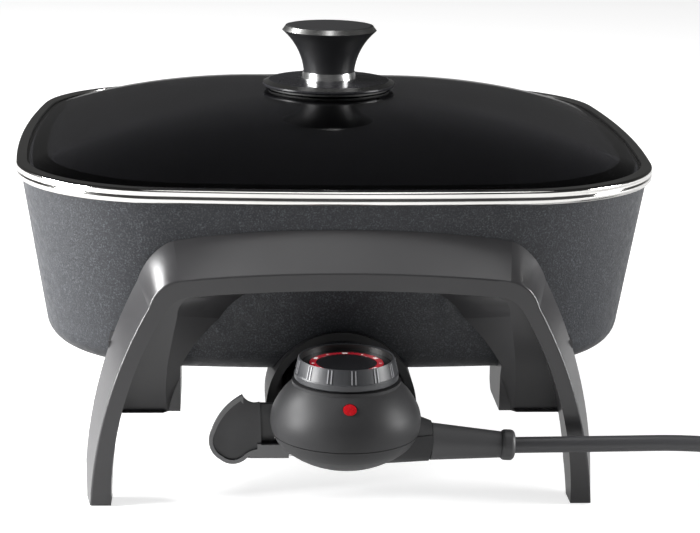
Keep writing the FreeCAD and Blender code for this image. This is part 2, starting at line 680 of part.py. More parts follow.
foot_height = "pan_bottom + pan_depth + body_gap + band_height + dome_rise"
gasket_height = foot_height + " + screw_fit"
keep(turned("knob_gasket", [
    ("knob_screw_radius + seat_gap", "0", None),
    ("knob_foot_radius - 3", "0", None),
    ("knob_foot_radius - 3", "gasket_thickness", None),
    ("knob_screw_radius + seat_gap", "gasket_thickness", None),
], height=gasket_height))
disc_height = gasket_height + " + gasket_thickness"
keep(turned("knob_base", [
    ("knob_screw_radius + screw_fit", "0", None),
    ("knob_foot_radius - 0.8", "0", None),
    ("knob_foot_radius", "0.8", None),
    ("knob_foot_radius", "knob_foot_height * 0.4", None),
    ("knob_foot_radius - 3.4", "knob_foot_height * 0.8", None),
    ("knob_collar_radius + 1.5", "knob_foot_height", None),
    ("knob_screw_radius + screw_fit", "knob_foot_height", None),
], height=disc_height))
collar_height = disc_height + " + knob_foot_height"
keep(turned("knob_collar", [
    ("knob_screw_radius + screw_fit", "0", None),
    ("knob_collar_radius", "0", None),
    ("knob_collar_radius - 0.6", "knob_collar_height", None),
    ("knob_screw_radius + screw_fit", "knob_collar_height", None),
], height=collar_height))
knob_height = collar_height + " + knob_collar_height"
knob_outline = [
    ("knob_screw_radius + screw_fit", "0", None),
    ("knob_neck_radius", "0", "-knob_height * 1.35"),
    ("knob_top_radius - 1", "knob_height * 0.86", None),
    ("knob_top_radius", "knob_height * 0.9", None),
    ("knob_cap_radius + 0.4", "knob_height", None),
    ("knob_cap_radius + 0.1", "knob_height", None),
    ("knob_cap_radius + 0.1", "knob_height - 1", None),
    ("0", "knob_height - 1", None),
    ("0", "knob_height - 6", None),
    ("knob_screw_radius + screw_fit", "knob_height - 6", None),
]
keep(turned("knob_body", knob_outline, height=knob_height))
keep(turned("knob_cap", [
    ("0", "0", None),
    ("knob_cap_radius", "0", None),
    ("knob_cap_radius", "0.8", None),
    ("knob_cap_radius - 0.8", "1.2", None),
    ("0", "1.2", None),
], height=knob_height + " + knob_height - 1"))
washer_low = foot_height + " - glass_thickness - 2.4"
keep(turned("knob_washer", [
    ("knob_screw_radius + seat_gap", "0", None),
    ("9", "0", None),
    ("9", "1.4", None),
    ("knob_screw_radius + seat_gap", "1.4", None),
], height=washer_low))
keep(turned("knob_screw", [
    ("0", "0", None),
    ("4.6", "0", None),
    ("4.6", "2.6", None),
    ("knob_screw_radius", "2.6", None),
    ("knob_screw_radius", "2.6 + 32", None),
    ("0", "2.6 + 32", None),
], height=washer_low + " - 2.6"))


# Heat control: two shells, and what they hold

control_y = -size("control_along")


def control_outside(inset):
    """The control's outer form, or its hollow when drawn in by the wall."""
    bottom = size("control_bottom") + inset
    top = size("control_top") - inset
    neck = size("control_neck_radius") - inset
    chin = (size("control_chin_radius") - inset, size("control_chin_height") + inset * 0.3)
    belly = (size("control_radius") - inset, size("control_belly_height"))
    shoulder = (size("control_shoulder_radius") - inset, size("control_shoulder_height"))
    chin_middle = (chin[0] * 0.55, bottom + (chin[1] - bottom) * 0.26)
    brim = (neck, top - 1.4)
    solid = lathe([
        ((0, bottom), chin_middle, chin),
        (chin, belly, shoulder),
        (shoulder, ((shoulder[0] + brim[0]) / 2 + 0.5, (shoulder[1] + brim[1]) / 2 + 0.3), brim),
        (brim, (neck, top)),
        ((neck, top), (0, top)),
        ((0, top), (0, bottom)),
    ], control_y)
    neck_start = Vector(6, control_y, size("neck_height + neck_climb"))
    neck_stop = Vector(size("neck_end"), control_y, size("neck_height"))
    lean = neck_stop - neck_start
    solid = solid.fuse(Part.makeCone(size("neck_radius + neck_swell") - inset, size("neck_radius") - inset,
                                     lean.Length, neck_start, lean))
    half = size("nose_half") - inset
    nose = box(-half, half, control_y, -size("nose_back") - inset, size("nose_bottom") + inset,
               size("nose_top") - inset)
    long_edges = [edge for edge in nose.Edges if edge.BoundBox.YLength > 10]
    nose = nose.makeFillet(5 - inset, long_edges)
    return solid.fuse(nose)


def oval_bar(extra):
    """A bar of the pilot light's oval section, from the control's axis out to the front."""
    middle = Vector(0, control_y, size("pilot_height"))
    wide = Vector(size("pilot_radius") + extra, 0, 0)
    tall = Vector(0, 0, size("pilot_half_height") + extra)
    outline = Part.Ellipse(middle + wide, middle + tall, middle).toShape()
    return Part.Face(Part.Wire(outline)).extrude(Vector(0, -60, 0))


def make_control_shell():
    solid = control_outside(0).cut(control_outside(size("control_wall")))
    solid = solid.cut(box(size("neck_end") - 0.01, 80, -300, -100, 0, 100))
    shaft = Vector(0, control_y, 40)
    solid = solid.cut(cylinder(size("shaft_radius + body_gap"), shaft, Vector(0, control_y, 90)))
    probe = Vector(0, -size("nose_back") - 20, size("terminal_height"))
    solid = solid.cut(cylinder(size("probe_radius + seat_gap"), probe, probe + Vector(0, 40, 0)))
    for sign in (-1, 1):
        start = Vector(sign * size("terminal_half"), -size("nose_back") - 10, size("terminal_height"))
        solid = solid.cut(cylinder(size("terminal_radius + body_gap") + 0.4, start, start + Vector(0, 20, 0)))
    solid = solid.cut(oval_bar(size("seat_gap")))
    relief_start = Vector(size("neck_end") - 20, control_y, size("neck_height"))
    solid = solid.cut(cylinder(size("cord_diameter / 2 + seat_gap"), relief_start, relief_start + Vector(30, 0, 0)))
    return solid


control_shell = make_control_shell()
deck = size("deck_height")
upper = control_shell.common(box(-80, 80, -260, -60, size("seam_height"), 120))
lower = control_shell.common(box(-80, 80, -260, -60, 0, size("seam_height - seam_groove")))


def with_lever_seat(solid):
    """The lever's pin passes up into a boss under the nose."""
    pivot = Vector(-size("lever_pivot_half"), -size("lever_pivot_along"), 0)
    sweep = cylinder(size("lever_hub_radius + body_gap"), pivot + Vector(0, 0, 10),
                     pivot + Vector(0, 0, size("lever_bottom + lever_arm_height + body_gap")))
    hole = cylinder(size("lever_pin_radius + screw_fit"), pivot, pivot + Vector(0, 0, deck - 1))
    boss = cylinder(4.0, pivot + Vector(0, 0, size("lever_bottom + lever_arm_height + body_gap")),
                    pivot + Vector(0, 0, deck - 0.02))
    return solid.cut(sweep).fuse(boss).cut(hole)


screw_spots = [(-14, 14), (14, 14), (-9, -13)]
# The shell screws' heads sit this far below the deck
screw_seat = 4.6


def with_screw_posts(solid):
    """Posts in the lower shell, each sunk from below for the head of its screw."""
    for across, along in screw_spots:
        base = Vector(across, control_y + along, 0)
        top = Vector(base.x, base.y, deck - 0.02)
        seat = Vector(base.x, base.y, deck - screw_seat)
        solid = solid.fuse(cylinder(4.2, base, top).common(control_outside(0)))
        solid = solid.cut(cylinder(1.5 + size("seat_gap"), base, top)).cut(cylinder(3.0, base, seat))
    return solid


lower = with_lever_seat(lower)
lower = with_screw_posts(lower)
upper_posts = upper
for across, along in screw_spots:
    base = Vector(across, control_y + along, deck)
    post = cylinder(3.4, base, base + Vector(0, 0, 40)).common(control_outside(1.0))
    post = post.cut(cylinder(1.5 + size("screw_fit"), base, base + Vector(0, 0, 7)))
    upper_posts = upper_posts.fuse(post)
keep(shaped("control_shell_upper", upper_posts))
keep(shaped("control_shell_lower", lower))

contact_front = -size("nose_back") - size("control_wall") - size("seat_gap")
contact_back = contact_front - size("contact_length")


def make_contact_block():
    half = size("nose_half - control_wall - seat_gap")
    low = size("deck_height")
    high = size("nose_top - control_wall - seat_gap")
    solid = box(-half + 5, half - 5, contact_back, contact_front, low - 1.5, high)
    solid = solid.fuse(box(-half, half, contact_back, contact_front, low + 1, high - 4))
    for sign in (-1, 1):
        start = Vector(sign * size("terminal_half"), contact_back - 1, size("terminal_height"))
        solid = solid.cut(cylinder(size("terminal_radius + contact_wall + screw_fit"), start, start + Vector(0, 40, 0)))
    start = Vector(0, contact_back - 1, size("terminal_height"))
    solid = solid.cut(cylinder(size("probe_radius + screw_fit"), start, start + Vector(0, 40, 0)))
    clear = size("lever_hub_radius + body_gap") + 0.5
    pivot = Vector(-size("lever_pivot_half"), -size("lever_pivot_along"), 0)
    solid = solid.cut(cylinder(clear, pivot, pivot + Vector(0, 0, low + 0.5)))
    for sign in (-1, 1):
        post = Vector(sign * 14, control_y + 14, low - 5)
        solid = solid.cut(cylinder(3.4 + size("seat_gap"), post, post + Vector(0, 0, 20)))
    return solid


keep(shaped("contact_block", make_contact_block()))

contacts = []
for side_name, sign in (("left", "-"), ("right", "")):
    across = sign + "terminal_half"
    tube = rod("contact_tube_" + side_name, "terminal_radius + contact_wall", "contact_tube_length", across,
               "-nose_back - control_wall - seat_gap - contact_tube_length - contact_tube_inset",
               "terminal_height", "Y")
    bore = rod("contact_bore_" + side_name, "terminal_radius + body_gap", "contact_tube_length", across,
               "-nose_back - control_wall - seat_gap - contact_tube_length - contact_tube_inset",
               "terminal_height", "Y")
    contacts.append(cut("contact_" + side_name, tube, bore))
keep(group("receptacle_contacts", contacts))

probe_length = "nose_back + 44 - probe_tip"
probe_rod = rod("probe_rod", "probe_radius", probe_length, "0", "-nose_back - 44", "terminal_height", "Y")
probe_end = doc.addObject("Part::Sphere", "probe_end")
bind(probe_end, "Radius", "probe_radius")
place(probe_end, "0", "-probe_tip", "terminal_height")
keep(fuse("sensing_probe", [probe_rod, probe_end]))

switch_low = "deck_height + 1"
keep(block("thermostat_switch", "18", "control_along + 9 - nose_back - control_wall - seat_gap - contact_length",
           "terminal_height - probe_radius - deck_height - 1.5", "-9", "-control_along - 9", switch_low))
keep(rod("neon_lamp", "pilot_radius * 0.7", "8", "0", "-control_along - 20.5", "pilot_height", "Y"))


def make_pilot():
    """A lens that stands just proud of the control's sloping shoulder."""
    lens = oval_bar(0.0)
    proud = control_outside(-0.4)
    behind = control_outside(size("control_wall") + 0.4)
    return lens.common(proud).cut(behind)


pilot_shape = make_pilot()
front_piece = min(pilot_shape.Solids, key=lambda solid: solid.CenterOfMass.y)
keep(shaped("pilot_lens", front_piece))

shell_screws = []
for index, (across, along) in enumerate(screw_spots):
    head = rod("shell_screw_head_%d" % index, "2.8", "1.6", str(across), "-control_along + (%d)" % along,
               "deck_height - %.1f" % (screw_seat + 1.6))
    shank = rod("shell_screw_shank_%d" % index, "1.5", "10.8", str(across), "-control_along + (%d)" % along,
                "deck_height - %.1f" % screw_seat)
    shell_screws.append(fuse("shell_screw_%d" % index, [head, shank]))
keep(group("shell_screws", shell_screws))


# Dial, its face, scale ring and shaft

dial_outline = [
    ("shaft_radius", "0", None),
    ("dial_radius - 0.8", "0", None),
    ("dial_radius", "0.8", None),
    ("dial_radius", "dial_height * 0.3", None),
    ("dial_radius - 0.5", "dial_height * 0.36", None),
    ("dial_face_radius + 1", "dial_height", None),
    ("dial_face_radius + 0.1", "dial_height - 0.4", None),
    ("dial_face_radius + 0.1", "dial_height - dial_recess - 1", None),
    ("shaft_radius", "dial_height - dial_recess - 1", None),
]
keep(turned("dial_knob", dial_outline, "-control_along", "dial_bottom"))
keep(turned("dial_face", [
    ("0", "0", None),
    ("dial_face_radius", "0", None),
    ("dial_face_radius", "1", None),
    ("scale_radius", "1", None),
    ("scale_radius", "0.6", None),
    ("scale_radius - scale_width", "0.6", None),
    ("scale_radius - scale_width", "1", None),
    ("0", "1", None),
], "-control_along", "dial_bottom + dial_height - dial_recess - 1"))


def make_scale_ring():
    """The scale ring stops either side of the off position, which faces the user at rest."""
    low = size("dial_bottom + dial_height - dial_recess - 0.4")
    outer = size("scale_radius")
    centre = Vector(0, control_y, low)
    ring = cylinder(outer, centre, centre + Vector(0, 0, 0.5))
    ring = ring.cut(cylinder(outer - size("scale_width"), centre - Vector(0, 0, 1), centre + Vector(0, 0, 2)))
    opening = math.radians(size("scale_opening") / 2)
    reach = outer * 2
    corners = [centre, centre + Vector(-reach * math.sin(opening), -reach * math.cos(opening), 0),
               centre + Vector(reach * math.sin(opening), -reach * math.cos(opening), 0), centre]
    wedge = Part.Face(Part.makePolygon([corner - Vector(0, 0, 1) for corner in corners])).extrude(Vector(0, 0, 3))
    return ring.cut(wedge)


keep(shaped("dial_scale_ring", make_scale_ring()))
keep(turned("dial_shaft", [
    ("0", "0", None),
    ("shaft_radius - 0.02", "0", None),
    ("shaft_radius - 0.02", "dial_bottom + dial_height - dial_recess - 1 - terminal_height - probe_radius - 1", None),
    ("0", "dial_bottom + dial_height - dial_recess - 1 - terminal_height - probe_radius - 1", None),
], "-control_along", "terminal_height + probe_radius + 1"))


# Eject lever, which turns on an upright pin under the control's nose

# Arcs round the paddle, each by three points: sideways from the middle, and above the arm's underside
paddle_outline = [
    ((-46.5, 30.0), (-55.5, 22.5), (-60.6, 13.0)),
    ((-60.6, 13.0), (-60.9, 4.5), (-56.4, -0.6)),
    ((-56.4, -0.6), (-50.5, -2.7), (-44.0, 0.4)),
    ((-44.0, 0.4), (-41.0, 2.0), (-37.6, 2.6)),
    ((-37.6, 2.6), (-37.9, 15.0), (-38.6, 26.4)),
    ((-38.6, 26.4), (-43.4, 26.6), (-46.5, 30.0)),
]


def make_lever():
    low = size("lever_bottom")
    high = low + size("lever_arm_height")
    pivot = Vector(-size("lever_pivot_half"), -size("lever_pivot_along"), low)
    hub = cylinder(size("lever_hub_radius"), pivot, Vector(pivot.x, pivot.y, high))
    front = -size("lever_along")
    back = front + size("lever_plate")
    arm = box(-43, pivot.x, front, back + 3, low, high)
    arm = arm.fuse(box(pivot.x - 8, pivot.x, back, pivot.y, low, high))
    reach = box(pivot.x, pivot.x + 12, pivot.y - 1, pivot.y + size("lever_hub_radius"), low, high - 1)
    nudge = box(pivot.x + 6, pivot.x + 12, pivot.y, -size("guard_front") - 1.2, low, high - 1)
    web = box(-44, pivot.x - 6.4, back + 2, back + 5, low, low + 24.4)
    web = web.fuse(box(-44, -41, front + 0.5, back + 5, low, low + 24.4))
    edges = [Part.Arc(*[Vector(point[0], front, low + point[1]) for point in piece]).toShape()
             for piece in paddle_outline]
    outline = Part.Face(Part.Wire(edges))
    paddle = outline.extrude(Vector(0, size("lever_plate"), 0))
    hollow = outline.makeOffset2D(-size("lever_rim")).extrude(Vector(0, size("lever_hollow"), 0))
    solid = hub.fuse(arm).fuse(reach).fuse(nudge).fuse(web).fuse(paddle)
    open_side = box(-46, -36, front, front + size("lever_hollow"), high + 0.4, high + 30)
    solid = solid.cut(hollow).cut(open_side)
    hole = cylinder(size("lever_pin_radius + screw_fit"), pivot - Vector(0, 0, 1), Vector(pivot.x, pivot.y, high + 1))
    return solid.cut(hole).removeSplitter()


keep(shaped("eject_lever", make_lever()))
pin_shank = rod("lever_pin_shank", "lever_pin_radius", "deck_height - lever_bottom - 1", "-lever_pivot_half",
                "-lever_pivot_along", "lever_bottom - 0.3")
pin_head = rod("lever_pin_head", "lever_pin_radius * 2", "1.2", "-lever_pivot_half", "-lever_pivot_along",
               "lever_bottom - 1.5")
keep(fuse("lever_pin", [pin_shank, pin_head]))


# Cord: strain relief, free stretch, put-away coil, tie and plug

relief_end = "neck_end + relief_length"
coil_middle = size("coil_across")
cord_radius = size("cord_diameter / 2")
floor_lift = size("tie_thickness + 2 * tie_gap")
coil_low = cord_radius + floor_lift
coil_start = Vector(coil_middle, control_y - 4.0, coil_low)
# The route of the cord's free stretch, in millimetres: level at the control, then down to the surface
cord_route = [
    Vector(size(relief_end), control_y, size("cord_height")),
    Vector(118, control_y, size("cord_height") + 0.4),
    Vector(163, control_y - 0.6, size("cord_height") + 1.2),
    Vector(188, control_y - 1.6, 30.0),
    Vector(209, control_y - 2.8, 17.0),
    Vector(229, coil_start.y, coil_low),
    Vector(coil_middle - size("cord_diameter"), coil_start.y, coil_low),
]


def make_relief():
    start = Vector(size("neck_end"), control_y, size("neck_height"))
    along = (cord_route[0] - start).normalize()
    taper = (cord_route[0] - start).Length - size("relief_collar_length")
    solid = Part.makeCone(size("relief_radius"), size("relief_tip_radius"), taper, start, along)
    collar = Part.makeCylinder(size("relief_collar_radius"), size("relief_collar_length"),
                               start + along * taper, along)
    solid = solid.fuse(collar.makeFillet(size("relief_collar_round"), [edge for edge in collar.Edges
                                                                       if edge.BoundBox.XLength < 2]))
    inner = Part.makeCylinder(size("cord_diameter / 2"), 12, start - Vector(12, 0, 0), Vector(1, 0, 0))
    return solid.fuse(inner).removeSplitter()


keep(shaped("strain_relief", make_relief()))


def smooth_path(points):
    """Straight runs joined by tangent arcs, each as large as its two runs allow."""
    edges = []
    last = points[0]
    least = 1e9
    for before, corner, after in zip(points, points[1:], points[2:]):
        arriving = (corner - before).normalize()
        leaving = (after - corner).normalize()
        turn = arriving.getAngle(leaving)
        run = min((corner - before).Length, (after - corner).Length)
        setback = 0.45 * run
        radius = setback / math.tan(turn / 2)
        least = min(least, radius)
        enter = corner - arriving * setback
        leave = corner + leaving * setback
        bisector = (leaving - arriving).normalize()
        middle = corner + bisector * (radius / math.cos(turn / 2) - radius)
        edges.append(Part.LineSegment(last, enter).toShape())
        edges.append(Part.Arc(enter, middle, leave).toShape())
        last = leave
    edges.append(Part.LineSegment(last, points[-1]).toShape())
    print("cord: least radius %.1f mm" % least)
    return Part.Wire(edges)


def tube_along(wire, start, direction, radius):
    profile = Part.Wire(Part.makeCircle(radius, start, direction))
    return wire.makePipeShell([profile], True, False)


cord_path = smooth_path(cord_route)
cord_tube = tube_along(cord_path, cord_route[0], Vector(1, 0, 0), cord_radius)
section = math.pi * cord_radius ** 2
print("cord: volume over section times length %.4f" % (cord_tube.Volume / (section * cord_path.Length)))
keep(shaped("power_cord", cord_tube))


def coil_edges():
    """Half turns that spiral in, climb a layer where the spiral reverses, and spiral out again."""
    pitch = size("coil_pitch")
    halves = int(size("coil_half_turns"))
    point = Vector(coil_start)
    edges = [Part.LineSegment(point - Vector(size("cord_diameter"), 0, 0), point).toShape()]
    side = 1
    radii = [size("coil_outer") - index * pitch / 2 for index in range(halves)]
    steps = [(radius, 0.0) for radius in radii]
    steps.append((radii[-1] - pitch / 2, pitch))
    steps += [(radius, 0.0) for radius in reversed(radii[1:])]
    for radius, climb in steps:
        end = point + Vector(0, side * 2 * radius, climb)
        swell = math.hypot(radius, climb / 2)
        middle = (point + end) / 2 + Vector(side * swell, 0, 0)
        edges.append(Part.Arc(point, middle, end).toShape())
        point = end
        side = -side
    quarter = size("coil_outer")
    centre = point + Vector(0, side * quarter, 0)
    end = centre + Vector(side * quarter, 0, 0)
    lean = Vector(side * math.sqrt(0.5), -side * math.sqrt(0.5), 0)
    edges.append(Part.Arc(point, centre + lean * quarter, end).toShape())
    tail = end + Vector(0, side * size("cord_diameter"), 0)
    edges.append(Part.LineSegment(end, tail).toShape())
    return edges, tail, Vector(0, side, 0)


def least_self_gap(wire, radius):
    """The least clear space between stretches of the coil that lie a turn or more apart."""
    step = 3.0
    points = wire.discretize(int(wire.Length / step))
    apart = int(6 * radius / step) + 2
    least = 1e9
    for index, point in enumerate(points):
        for other in points[index + apart:]:
            least = min(least, (point - other).Length)
    return least - 2 * radius


turns, coil_tail, tail_heading = coil_edges()
coil_wire = Part.Wire(turns)
coil_solid = tube_along(coil_wire, coil_start - Vector(size("cord_diameter"), 0, 0), Vector(1, 0, 0), cord_radius)
print("coil: volume over section times length %.4f" % (coil_solid.Volume / (section * coil_wire.Length)))
print("coil: least gap to itself %.2f mm" % least_self_gap(coil_wire, cord_radius))
print("cord and coil: %.0f mm long" % (cord_path.Length + coil_wire.Length))
keep(shaped("cord_coil", coil_solid))


def make_tie():
    """A flat band round the bundle of turns, on the side away from the plug."""
    gap = size("tie_gap")
    thick = size("tie_thickness")
    half = size("tie_width") / 2
    centre_y = coil_start.y + size("coil_outer")
    inner_low = coil_low - cord_radius - gap
    inner_high = coil_low + size("coil_pitch") + cord_radius + gap
    bound = coil_solid.BoundBox
    slice_box = box(bound.XMin - 1, coil_middle, centre_y - 1, centre_y + 1, -5, 60)
    bundle = coil_solid.common(slice_box).BoundBox
    left = bundle.XMin - gap
    right = bundle.XMax + gap
    outer = box(left - thick, right + thick, centre_y - half, centre_y + half, inner_low - thick, inner_high + thick)
    return outer.cut(box(left, right, centre_y - half - 1, centre_y + half + 1, inner_low, inner_high))


keep(shaped("coil_tie", make_tie()))


def make_plug():
    """A flat moulded plug with two round pins, lying on the surface."""
    length = size("plug_length")
    wide = size("plug_width") / 2
    high = coil_tail.z
    taper = size("relief_tip_radius")
    relief_start = coil_tail + tail_heading * size("body_gap")
    relief = Part.makeCone(taper - 0.4, taper + 1.6, 22, relief_start, tail_heading)
    body_start = coil_tail + tail_heading * 20
    outlines = []
    for share, half_wide, half_high in ((0.0, 8.5, 8.5), (0.35, wide - 2, high - 1), (1.0, wide, high - 0.2)):
        middle = body_start + tail_heading * (length * share)
        corners = [Vector(-half_wide, 0, -half_high), Vector(half_wide, 0, -half_high),
                   Vector(half_wide, 0, half_high), Vector(-half_wide, 0, half_high)]
        outlines.append(Part.makePolygon([middle + corner for corner in corners + corners[:1]]))
    body = Part.makeLoft(outlines[:2], True, True).fuse(Part.makeLoft(outlines[1:], True, True)).removeSplitter()
    long_edges = [edge for edge in body.Edges if edge.BoundBox.YLength > 5]
    body = body.makeFillet(4.5, long_edges)
    return body.fuse(relief).removeSplitter(), body_start + tail_heading * length


plug_shape, plug_face = make_plug()
keep(shaped("plug_body", plug_shape))
pins = []
for sign in (-1, 1):
    root = plug_face + Vector(sign * size("plug_pin_spacing") / 2, 0, 0)
    pin = cylinder(size("plug_pin_radius"), root, root + tail_heading * size("plug_pin_length"))
    tip = [edge for edge in pin.Edges if (edge.CenterOfMass - root).Length > size("plug_pin_length") - 1]
    pins.append(pin.makeFillet(1.2, tip))
keep(shaped("plug_pins", Part.makeCompound(pins)))


# Check and export

doc.recompute()
faults = []
for item in doc.Objects:
    if "Invalid" in item.State or "Error" in item.State:
        faults.append("%s is %s" % (item.Label, item.State))
for item in nodes:
    if item.Shape.isNull() or not item.Shape.isValid():
        faults.append("%s has a broken shape" % item.Label)
    else:
        box_of = item.Shape.BoundBox
        print("%-22s solids %d volume %9.0f  x %.1f..%.1f  y %.1f..%.1f  z %.1f..%.1f" % (
            item.Label, len(item.Shape.Solids), item.Shape.Volume, box_of.XMin, box_of.XMax,
            box_of.YMin, box_of.YMax, box_of.ZMin, box_of.ZMax))
if faults:
    raise RuntimeError("; ".join(faults))
for item in nodes:
    item.Shape.exportStep("parts/" + item.Label + ".step")
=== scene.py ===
import math

import bmesh
import bpy
from mathutils import Matrix, Vector


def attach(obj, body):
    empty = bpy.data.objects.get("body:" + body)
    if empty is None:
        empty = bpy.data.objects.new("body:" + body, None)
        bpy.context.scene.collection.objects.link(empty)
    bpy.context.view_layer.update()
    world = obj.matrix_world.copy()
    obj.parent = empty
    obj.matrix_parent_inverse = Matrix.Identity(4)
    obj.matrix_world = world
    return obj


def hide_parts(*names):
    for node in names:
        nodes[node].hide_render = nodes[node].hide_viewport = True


# Electric skillet, dressed for the photograph. Metres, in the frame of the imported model.

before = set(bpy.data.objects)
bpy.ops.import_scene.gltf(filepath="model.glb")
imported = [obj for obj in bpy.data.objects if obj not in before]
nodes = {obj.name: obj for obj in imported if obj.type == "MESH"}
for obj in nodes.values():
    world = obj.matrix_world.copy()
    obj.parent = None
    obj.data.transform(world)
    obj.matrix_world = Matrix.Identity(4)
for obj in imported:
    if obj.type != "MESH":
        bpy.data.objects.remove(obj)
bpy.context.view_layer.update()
scene = bpy.context.scene

# Camera, solved from the photograph's rim and feet
photo_width = 700
focal_pixels = 2084.2
sensor_width = 36.0
camera_place = Vector((-0.0571, -1.0573, 0.3378))
camera_heading = math.radians(3.70)
camera_dip = math.radians(13.83)
camera_roll = math.radians(0.99)


def make_camera():
    data = bpy.data.cameras.new("camera")
    data.sensor_width = sensor_width
    data.lens = focal_pixels / photo_width * sensor_width
    data.clip_end = 20
    camera = bpy.data.objects.new("camera", data)
    scene.collection.objects.link(camera)
    turn = (Matrix.Rotation(-camera_heading, 4, "Z")
            @ Matrix.Rotation(math.pi / 2 - camera_dip, 4, "X")
            @ Matrix.Rotation(camera_roll, 4, "Z"))
    camera.matrix_world = Matrix.Translation(camera_place) @ turn
    scene.camera = camera


make_camera()

# Cord: the same route as the solid's, then the put-away coil, as one smooth curve
pan_shift = 0.024
cord_diameter = 0.0074
coil_middle = 0.256
coil_start_y = -0.190 + pan_shift
coil_low = 0.0055
coil_pitch = 0.008
coil_outer = 0.044
coil_half_turns = 5
steps_per_half_turn = 8
control_y = -0.186 + pan_shift
relief_end = Vector((0.077, control_y, 0.0334))
cord_route = [
    relief_end,
    Vector((0.118, control_y, 0.0338)),
    Vector((0.163, control_y - 0.0006, 0.0346)),
    Vector((0.188, control_y - 0.0016, 0.0300)),
    Vector((0.209, control_y - 0.0028, 0.0170)),
    Vector((0.229, coil_start_y, coil_low)),
    Vector((coil_middle - cord_diameter, coil_start_y, coil_low)),
]


def coil_points():
    """Half turns that spiral in, climb a layer and spiral out, as points of the cord's spline."""
    points = []
    start = Vector((coil_middle, coil_start_y, coil_low))
    radii = [coil_outer - index * coil_pitch / 2 for index in range(coil_half_turns)]
    steps = [(radius, 0.0) for radius in radii]
    steps.append((radii[-1] - coil_pitch / 2, coil_pitch))
    steps += [(radius, 0.0) for radius in reversed(radii[1:])]
    side = 1
    # A point between two others is cut off by the spline, so the points stand this much further out
    swell = 1 / math.cos(math.pi / steps_per_half_turn / 2) ** 1.5
    for radius, climb in steps:
        centre = start + Vector((0, side * radius, 0))
        for index in range(steps_per_half_turn):
            angle = math.pi * (index + 0.5) / steps_per_half_turn
            rise = climb * (1 - math.cos(angle)) / 2
            offset = Vector((side * math.sin(angle), -side * math.cos(angle), 0)) * radius * swell
            points.append(centre + offset + Vector((0, 0, rise)))
        start = centre + Vector((0, side * radius, climb))
        side = -side
    centre = start + Vector((0, side * coil_outer, 0))
    for index in range(steps_per_half_turn // 2):
        angle = math.pi * (index + 0.5) / steps_per_half_turn
        offset = Vector((side * math.sin(angle), -side * math.cos(angle), 0)) * coil_outer * swell
        points.append(centre + offset)
    tail = centre + Vector((side * coil_outer, 0, 0))
    return points + [tail, tail + Vector((0, side * cord_diameter, 0))]


def make_cord():
    curve = bpy.data.curves.new("mains_cord", "CURVE")
    curve.dimensions = "3D"
    # The points carry the cord's radius, so that its bounding box lies close round it
    curve.bevel_depth = 1.0
    curve.bevel_resolution = 5
    curve.resolution_u = 6
    curve.use_fill_caps = True
    spline = curve.splines.new("NURBS")
    points = cord_route + coil_points()
    spline.points.add(len(points) - 1)
    for slot, point in zip(spline.points, points):
        slot.co = (*point, 1)
        slot.radius = cord_diameter / 2
    spline.order_u = 3
    spline.use_endpoint_u = True
    cord = bpy.data.objects.new("mains_cord", curve)
    scene.collection.objects.link(cord)
    return cord


cord = make_cord()
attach(cord, "control")
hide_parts("power_cord", "cord_coil")


# Shader steps that materials, floor and surround share

def map_range(tree, source, low, high, start, stop):
    """Carries a value from low..high over to start..stop."""
    node = tree.nodes.new("ShaderNodeMapRange")
    for socket, value in zip(("From Min", "From Max", "To Min", "To Max"), (low, high, start, stop)):
        node.inputs[socket].default_value = value
    tree.links.new(source, node.inputs["Value"])
    return node.outputs["Result"]


def calculate(tree, operation, first, second):
    node = tree.nodes.new("ShaderNodeMath")
    node.operation = operation
    for socket, value in zip(node.inputs, (first, second)):
        if isinstance(value, (int, float)):
            socket.default_value = value
        else:
            tree.links.new(value, socket)
    return node.outputs[0]


# Materials

# Most of a noise's values lie between these
noise_low = 0.3
noise_high = 0.7


